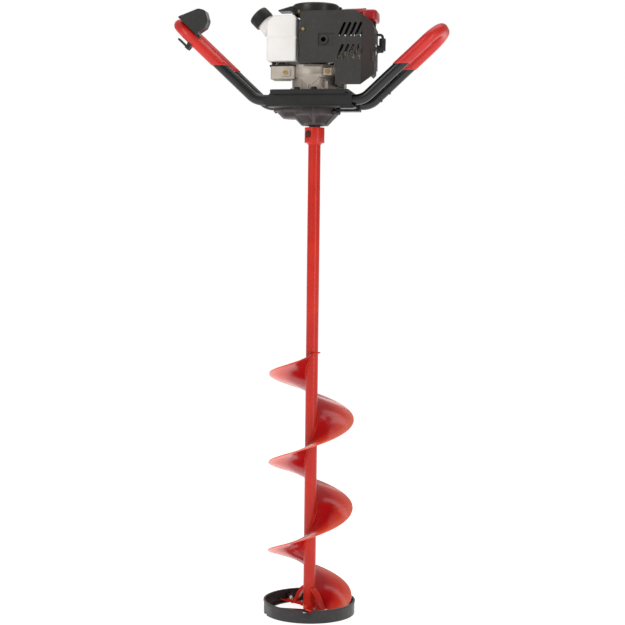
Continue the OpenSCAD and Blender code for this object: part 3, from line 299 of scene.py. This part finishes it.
def soften(obj, width):
    weld = obj.modifiers.new("weld", "WELD")
    weld.merge_threshold = 1e-5
    bevel = obj.modifiers.new("edges", "BEVEL")
    bevel.width = width * MM
    bevel.segments = 2
    bevel.limit_method = "ANGLE"
    bevel.angle_limit = math.radians(38)
    bevel.harden_normals = False
    bevel.use_clamp_overlap = True


bevel_of = {piece: width for width, pieces in BEVELS.items() for piece in pieces.split()}
finish_of = {part["node"]: part["material_slot"] for part in frame["record"]["subparts"]}
finish_of.update(OVERRIDES)
for name, obj in frame["nodes"].items():
    obj.data.materials.clear()
    obj.data.materials.append(MATERIALS[finish_of[name]])
    if name in bevel_of:
        soften(obj, bevel_of[name])


# ---------------------------------------------------------------- mesh helpers
def build(name, bm, material, body, replaces=()):
    """Turns a bmesh into a smooth object that rides on the named body."""
    bmesh.ops.recalc_face_normals(bm, faces=bm.faces)
    mesh = bpy.data.meshes.new(name)
    bm.to_mesh(mesh)
    bm.free()
    for face in mesh.polygons:
        face.use_smooth = True
    obj = bpy.data.objects.new(name, mesh)
    scene.collection.objects.link(obj)
    obj.data.materials.append(MATERIALS[material])
    if replaces:
        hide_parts(*replaces)
    if body:
        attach(obj, body)
    return obj


def split_edges(obj, degrees):
    obj.modifiers.new("split", "EDGE_SPLIT").split_angle = math.radians(degrees)


def bridge(bm, rings, caps=True):
    """Joins successive closed rings with quads."""
    sides = len(rings[0])
    for ring, following in zip(rings, rings[1:]):
        for k in range(sides):
            j = (k + 1) % sides
            bm.faces.new((ring[k], ring[j], following[j], following[k]))
    if caps:
        bm.faces.new(list(reversed(rings[0])))
        bm.faces.new(rings[-1])


def sweep(bm, points, radius, sides, caps=True):
    """Round section along a path; radius is one number, or one per point."""
    points = [Vector(p) for p in points]
    last = len(points) - 1
    rings = []
    across = None
    for i, centre in enumerate(points):
        along = (points[min(i + 1, last)] - points[max(i - 1, 0)]).normalized()
        if across is None:
            across = along.cross(Vector((0, 0, 1)))
        else:
            across = across - along * across.dot(along)
        across.normalize()
        other = along.cross(across)
        r = radius[i] if isinstance(radius, (list, tuple)) else radius
        ring = []
        for k in range(sides):
            angle = 2 * math.pi * k / sides
            offset = math.cos(angle) * across + math.sin(angle) * other
            ring.append(bm.verts.new((centre + r * offset) * MM))
        rings.append(ring)
    bridge(bm, rings, caps)


def lathe(bm, profile, sides, placing, shape=None):
    """Turns (radius, height) points about local Z; shape(angle, radius, height) alters radii."""
    rings = []
    for radius, height in profile:
        ring = []
        for k in range(sides):
            a = 2 * math.pi * k / sides
            r = shape(a, radius, height) if shape else radius
            ring.append(bm.verts.new(
                placing @ (Vector((r * math.cos(a), r * math.sin(a), height)) * MM)))
        rings.append(ring)
    bridge(bm, rings)


def centre_and_size(*spans):
    """Centre and size of a box given as (low, high) on x, y and z."""
    return (Vector([(low + high) / 2 for low, high in spans]),
            Vector([high - low for low, high in spans]))


def superellipsoid(bm, x, y, z, power, around, along):
    """Pillow-shaped block with its poles on Y; a lower power makes it squarer."""
    centre, size = centre_and_size(x, y, z)
    half = size / 2
    bend = lambda value: math.copysign(abs(value) ** power, value)
    rows = []
    for j in range(1, along):
        b = -math.pi / 2 + math.pi * j / along
        row = []
        for k in range(around):
            a = 2 * math.pi * k / around
            offset = Vector((half.x * bend(math.cos(b)) * bend(math.cos(a)),
                             half.y * bend(math.sin(b)),
                             half.z * bend(math.cos(b)) * bend(math.sin(a))))
            row.append(bm.verts.new((centre + offset) * MM))
        rows.append(row)
    pole = Vector((0, half.y, 0))
    low = bm.verts.new((centre - pole) * MM)
    high = bm.verts.new((centre + pole) * MM)
    for k in range(around):
        m = (k + 1) % around
        bm.faces.new((low, rows[0][m], rows[0][k]))
        bm.faces.new((high, rows[-1][k], rows[-1][m]))
        for row, following in zip(rows, rows[1:]):
            bm.faces.new((row[k], row[m], following[m], following[k]))


def cut_away(bm, point, normal, **sides):
    bmesh.ops.bisect_plane(bm, geom=bm.verts[:] + bm.edges[:] + bm.faces[:],
                           plane_co=Vector(point) * MM, plane_no=Vector(normal), **sides)


def rounded_box(bm, x, y, z, radius, segments, cuts=()):
    """Block with every edge rolled, after the (point, normal) planes are cut off."""
    old = set(bm.edges)
    centre, size = centre_and_size(x, y, z)
    placing = Matrix.Translation(centre * MM) @ Matrix.Diagonal((*(size * MM), 1))
    bmesh.ops.create_cube(bm, size=1.0, matrix=placing)
    for point, normal in cuts:
        cut_away(bm, point, normal, clear_outer=True)
        bmesh.ops.holes_fill(bm, edges=[e for e in bm.edges if e.is_boundary], sides=0)
    bmesh.ops.bevel(bm, geom=[e for e in bm.edges if e not in old], offset=radius * MM,
                    segments=segments, profile=0.5, affect="EDGES", clamp_overlap=True)


# ---------------------------------------------------------------- auger flight
PITCH = 207.8
FLIGHT_RADIUS = 99.6
TUBE_RADIUS = 14.3
HALF_PLATE = 3.2 / 2
REF_ANGLE, REF_Z = 190, 352.2   # a known point on the helix, degrees and height
TAPER = 80                      # degrees over which the top end narrows
END_RADIUS = TUBE_RADIUS + 5
flight_z = lambda angle: REF_Z + PITCH * (angle - REF_ANGLE) / 360
flight_angle = lambda z: REF_ANGLE + (z - REF_Z) / PITCH * 360
FLIGHT_START, FLIGHT_END = flight_angle(15.7), flight_angle(612)
FLIGHT_TURN = FLIGHT_END - FLIGHT_START


def outer_radius(angle):
    taper = (angle - FLIGHT_END + TAPER) / TAPER
    if taper < 0:
        return FLIGHT_RADIUS
    return END_RADIUS + (FLIGHT_RADIUS - END_RADIUS) * (1 - taper ** 2)


def build_flight():
    """Helical plate with a rolled outer edge."""
    bm = bmesh.new()
    steps = int(FLIGHT_TURN / 2.0)
    rings = []
    for i in range(steps + 1):
        angle = FLIGHT_START + FLIGHT_TURN * i / steps
        outer = outer_radius(angle)
        # (radius, offset in half plates) from the tube to just short of the rim
        lower = [(TUBE_RADIUS - 0.3, -1), (TUBE_RADIUS + 2, -1), ((TUBE_RADIUS + outer) * 0.5, -1),
                 (outer - 1.2, -1), (outer - 0.35, -0.75)]
        section = lower + [(outer, 0.0)] + [(r, -h) for r, h in reversed(lower)]
        a, z = math.radians(angle), flight_z(angle)
        rings.append([
            bm.verts.new(Vector((r * math.cos(a), r * math.sin(a), z + h * HALF_PLATE)) * MM)
            for r, h in section])
    bridge(bm, rings, caps=False)
    bm.faces.new(rings[0])
    bm.faces.new(rings[-1])
    flight = build("flight", bm, "flight_paint", "auger", ("auger_flighting",))
    split_edges(flight, 42)


def build_weld(name, side):
    """Uneven bead where the plate meets the tube; side is -1 below, 1 above."""
    bm = bmesh.new()
    margin = 6                           # degrees left bare at each end
    steps = int((FLIGHT_TURN - 8) / 4)   # about four degrees each
    radius = TUBE_RADIUS + 0.7
    points, sizes = [], []
    for i in range(steps + 1):
        angle = FLIGHT_START + margin + (FLIGHT_TURN - 2 * margin) * i / steps
        a = math.radians(angle)
        points.append((radius * math.cos(a), radius * math.sin(a),
                       flight_z(angle) + side * (HALF_PLATE + 0.6)))
        sizes.append(1.5 + 0.35 * math.sin(i * 2.1) + 0.2 * math.sin(i * 5.3 + side))
    sweep(bm, points, sizes, sides=8)
    build(name, bm, "red_paint", "auger")


def build_flight_tip():
    """Short bead across the front of the tube at the flight's top end."""
    # x, y, z, bead radius
    stations = [(-9, -16.4, 603, 0.8), (-2, -17.6, 606.5, 2.0), (6, -17.8, 609.5, 2.3),
                (14, -17.2, 611.6, 2.2), (20, -16.4, 612.6, 1.9), (22.6, -16, 612.8, 1.0)]
    bm = bmesh.new()
    sweep(bm, [s[:3] for s in stations], [s[3] for s in stations], sides=14)
    build("flight_tip", bm, "red_paint", "auger")


build_flight()
build_weld("weld_low", -1)
build_weld("weld_high", 1)
build_flight_tip()

# ---------------------------------------------------------------- handle loops
RISE = math.radians(43)        # slope of the raised part
RISE_COS, RISE_SIN = math.cos(RISE), math.sin(RISE)
BEND_RADIUS = 42.0
CORNER_RADIUS = 45.0           # at the outer end of the loop
KNEE_X, BAR_Z = 125.0, 1190.0  # where level and sloping centre lines cross
LEG_Y = 62.0                   # legs lie at plus and minus this
BAR_RADIUS = 12.2
GRIP_THICKNESS = 1.25
GRIP_START_Z = 1270.0
BEND_TANGENT = BEND_RADIUS * math.tan(RISE / 2)
BEND_END_X = KNEE_X + BEND_TANGENT * RISE_COS
BEND_END_Z = BAR_Z + BEND_TANGENT * RISE_SIN
# name, side, inner end x, outermost x, shift along x, piece the grip replaces
LOOPS = [("right", 1, 29.5, 297.0, -4.5, ()),
         ("left", -1, 45.0, 316.0, 0.0, ("hand_grips",))]


def loop_path(side, inner_x, reach, shift):
    """Centre line: out along the front leg, across, and back along the rear leg."""
    slope = (reach - BEND_END_X) / RISE_COS - CORNER_RADIUS
    top_x, top_z = BEND_END_X + slope * RISE_COS, BEND_END_Z + slope * RISE_SIN
    bend_x = KNEE_X - BEND_TANGENT
    leg = [(inner_x + (bend_x - inner_x) * k / 4, BAR_Z) for k in range(4)]
    leg += [(bend_x + BEND_RADIUS * math.sin(RISE * k / 14),
             BAR_Z + BEND_RADIUS * (1 - math.cos(RISE * k / 14))) for k in range(15)]
    leg += [(BEND_END_X + (top_x - BEND_END_X) * k / 16,
             BEND_END_Z + (top_z - BEND_END_Z) * k / 16) for k in range(1, 16)]
    path = [(x, -LEG_Y, z) for x, z in leg]
    corner_y = LEG_Y - CORNER_RADIUS
    for quarter, y in enumerate((-corner_y, corner_y)):
        for k in range(17):
            angle = math.pi / 2 * (quarter + k / 16)
            out = CORNER_RADIUS * math.sin(angle)
            path.append((top_x + out * RISE_COS, y - CORNER_RADIUS * math.cos(angle),
                         top_z + out * RISE_SIN))
        if quarter == 0:
            path += [(top_x + CORNER_RADIUS * RISE_COS, -corner_y + 2 * corner_y * j / 6,
                      top_z + CORNER_RADIUS * RISE_SIN) for j in range(1, 6)]
    path += [(x, LEG_Y, z) for x, z in reversed(leg)]
    return [(side * x + shift, y, z) for x, y, z in path]


def build_grip(name, path, side, shift, replaces):
    """Dipped coating that starts at a level line and closes onto the bar with a thin lip."""
    bm = bmesh.new()
    sweep(bm, path, BAR_RADIUS + GRIP_THICKNESS, sides=48, caps=False)
    cut_away(bm, (0, 0, GRIP_START_Z), (0, 0, 1), clear_inner=True, dist=1e-7)
    lip = bmesh.ops.extrude_edge_only(bm, edges=[e for e in bm.edges if e.is_boundary])
    axis = Vector((side * RISE_COS, 0, RISE_SIN))
    for vert in lip["geom"]:
        if not isinstance(vert, bmesh.types.BMVert):
            continue
        vert.co = vert.co - Vector((0, 0, 1.2 * MM))
        leg_y = math.copysign(LEG_Y, vert.co.y)
        start = Vector((side * BEND_END_X + shift, leg_y, BEND_END_Z)) * MM
        centre = start + axis * (vert.co - start).dot(axis)
        vert.co = centre + (vert.co - centre).normalized() * (BAR_RADIUS - 0.1) * MM
    build(name, bm, "red_vinyl", "power_head", replaces)


for name, side, inner_x, reach, shift, grip_replaces in LOOPS:
    path = loop_path(side, inner_x, reach, shift)
    bm = bmesh.new()
    sweep(bm, path, BAR_RADIUS, sides=40)
    build(name + "_loop", bm, "black_paint", "power_head", (name + "_handlebar",))
    build_grip(name + "_grip", path, side, shift, grip_replaces)

# ---------------------------------------------------------------- fuel tank
TANK_LEFT, TANK_RIGHT = -103, -34.5
TANK_FRONT, TANK_BACK = -60, 45
TANK_BOTTOM, TANK_TOP = 1278.5, 1382.5
# Base of the cap; its axis leans up and to the left.
CAP_PLACE = (Matrix.Translation(Vector((-118, -2, 1374.5)) * MM)
             @ Matrix.Rotation(math.radians(-45), 4, "Y"))
# radius, height along the cap axis
NECK_PROFILE = [(23, -24), (23, -14), (20.4, -9), (20, -4), (20, 1), (19, 14), (16, 15)]
CAP_PROFILE = [(21, 0.2), (23.2, 0), (24.3, 1.2), (24.3, 2.1), (24.5, 3), (24.5, 12), (24.5, 21),
               (24.0, 23), (23.0, 25.5), (20.5, 27), (15, 27), (13.4, 25.4), (2, 25.2)]
FLUTES, FLUTE_DEPTH = 36, 1.15


def fluted(angle, radius, height):
    """Sinks grooves into the side wall of the cap."""
    if radius > 22.9 and 2 < height < 22:
        return radius - FLUTE_DEPTH * max(0.0, math.cos(FLUTES * angle)) ** 0.6
    return radius


def build_tank():
    bm = bmesh.new()
    rounded_box(bm, (TANK_LEFT, TANK_RIGHT), (TANK_FRONT, TANK_BACK), (TANK_BOTTOM, TANK_TOP),
                radius=7.5, segments=6, cuts=[((TANK_LEFT, 0, TANK_TOP - 15.6), (-1, 0, 1)),
                                              ((TANK_RIGHT, 0, TANK_TOP - 6), (1, 0, 1))])
    build("tank_body", bm, "white_plastic", "power_head", ("fuel_tank",))
    bm = bmesh.new()
    rounded_box(bm, (TANK_LEFT - 1.2, TANK_RIGHT + 1.2), (TANK_FRONT - 0.9, TANK_BACK + 0.9),
                (1330.2, 1332.6), radius=1.1, segments=3)
    build("tank_seam", bm, "white_plastic", "power_head")
    bm = bmesh.new()
    lathe(bm, NECK_PROFILE, 48, CAP_PLACE)
    build("tank_neck", bm, "white_plastic", "power_head")
    bm = bmesh.new()
    lathe(bm, CAP_PROFILE, 8 * FLUTES, CAP_PLACE, fluted)
    split_edges(build("cap", bm, "black_plastic", "tank_cap", ("fuel_cap",)), 40)


build_tank()


# ---------------------------------------------------------------- inner wall
def build_inner_wall():
    """Wall behind the upper vents, with upright ribs on its front."""
    bm = bmesh.new()
    rounded_box(bm, (-20, 138), (12, 14.5), (1346, 1382), radius=0.8, segments=2)
    for k in range(9):
        left = 62 + k * 8
        rounded_box(bm, (left, left + 2), (4, 12.5), (1348, 1378), radius=0.5, segments=2)
    build("inner_wall", bm, "black_plastic", "power_head")


build_inner_wall()

# ---------------------------------------------------------------- starter grip and cord
CORD_Y, CORD_Z = 26, 1404.5
# x, z, radius of the spout that leads the cord into the grip
SPOUT = [(57, 1400.5, 4.6), (58, 1400.5, 5.6), (62, 1400.5, 6.2), (70, 1400.5, 6.6),
         (90, 1400.5, 6.9), (102, 1400, 7.8), (110, 1398, 10.5)]


def build_starter():
    bm = bmesh.new()
    superellipsoid(bm, (104.5, 142), (-11, 63), (1373.5, 1401.5), power=0.42, around=56, along=40)
    sweep(bm, [(x, CORD_Y, z) for x, z, _ in SPOUT], [r for _, _, r in SPOUT], sides=32)
    # short ridges low on the left side
    for k in range(5):
        sweep(bm, [(106, y, 1376.6) for y in (-4 + k * 12, 2 + k * 12)], 1.0, sides=10)
    build("starter_handle", bm, "red_plastic", "starter_grip", ("pull_handle",))
    bm = bmesh.new()
    sweep(bm, [(2 + k, CORD_Y, CORD_Z) for k in range(65)],
          [1.6 + 0.12 * math.sin(k * 2.0) for k in range(65)], sides=14)
    cord = build("cord", bm, "rope_cord", None, ("recoil_rope",))
    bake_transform(cord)


build_starter()


# ---------------------------------------------------------------- camera
def add_camera():
    swing = math.radians(10.0)   # from the front towards the right
    distance = 3.241
    height, aim_height = 0.8791, 0.7046
    roll = math.radians(0.66)
    sensor_width = 36
    view_width = 1.4625          # metres seen at the auger, before the zoom
    zoom = 1.007
    camera = bpy.data.objects.new("cam", bpy.data.cameras.new("cam"))
    scene.collection.objects.link(camera)
    scene.camera = camera
    place = Vector((distance * math.sin(swing), -distance * math.cos(swing), height))
    forward = (Vector((0, 0, aim_height)) - place).normalized()
    right = forward.cross(Vector((0, 0, 1))).normalized()
    up = right.cross(forward)
    turn = Matrix((right, up, -forward)).transposed() @ Matrix.Rotation(roll, 3, "Z")
    camera.matrix_world = Matrix.Translation(place) @ turn.to_4x4()
    camera.data.sensor_width = sensor_width
    camera.data.lens = sensor_width * distance / view_width * zoom
    camera.data.clip_end = 60


# ---------------------------------------------------------------- studio
def add_world():
    """Dim warm light on the scene, plain white to the camera."""
    world = bpy.data.worlds.new("studio")
    scene.world = world
    world.use_nodes = True
    nodes, links = world.node_tree.nodes, world.node_tree.links
    ambient = nodes["Background"]
    backdrop = nodes.new("ShaderNodeBackground")
    for shader, colour, strength in ((ambient, (1.0, 0.995, 0.985, 1), 0.36),
                                     (backdrop, (1, 1, 1, 1), 1.0)):
        shader.inputs["Color"].default_value = colour
        shader.inputs["Strength"].default_value = strength
    rays = nodes.new("ShaderNodeLightPath")
    mix = nodes.new("ShaderNodeMixShader")
    links.new(rays.outputs["Is Camera Ray"], mix.inputs[0])
    links.new(ambient.outputs[0], mix.inputs[1])
    links.new(backdrop.outputs[0], mix.inputs[2])
    links.new(mix.outputs[0], nodes["World Output"].inputs[0])


def add_floor():
    """Matt floor that glows almost white."""
    s = Shader("floor")
    tone = s.blotches((0.0, 1.0), scale=3)
    s.surface(Base_Color=s.mix(tone, (0.5, 0.5, 0.5), (0.48, 0.48, 0.48)), Roughness=0.9,
              Specular_IOR_Level=0.0, Emission_Color=(1, 1, 1, 1), Emission_Strength=0.86)
    bm = bmesh.new()
    bmesh.ops.create_grid(bm, x_segments=4, y_segments=4, size=14)
    mesh = bpy.data.meshes.new("floor")
    bm.to_mesh(mesh)
    bm.free()
    floor = bpy.data.objects.new("floor", mesh)
    scene.collection.objects.link(floor)
    floor.data.materials.append(MATERIALS["floor"])
    floor.location.z = -0.0005


def area_light(name, place, target_z, width, height, energy):
    """Rectangular light aimed at a point on the Z axis."""
    light = bpy.data.lights.new(name, "AREA")
    light.shape = "RECTANGLE"
    light.size, light.size_y = width, height
    light.energy = energy
    obj = bpy.data.objects.new(name, light)
    scene.collection.objects.link(obj)
    obj.location = place
    aim = Vector((0, 0, target_z)) - Vector(place)
    obj.rotation_euler = aim.to_track_quat("-Z", "Y").to_euler()


add_camera()
add_world()
add_floor()
area_light("key", (-1.9, -2.6, 2.5), target_z=1.0, width=1.5, height=1.9, energy=30)
area_light("strip", (1.9, -1.7, 1.2), target_z=0.8, width=0.5, height=2.2, energy=13)
area_light("top", (0.2, 0.3, 3.0), target_z=0.9, width=1.8, height=1.8, energy=14)
area_light("back", (-0.6, 2.4, 1.8), target_z=0.9, width=2.0, height=1.6, energy=12)
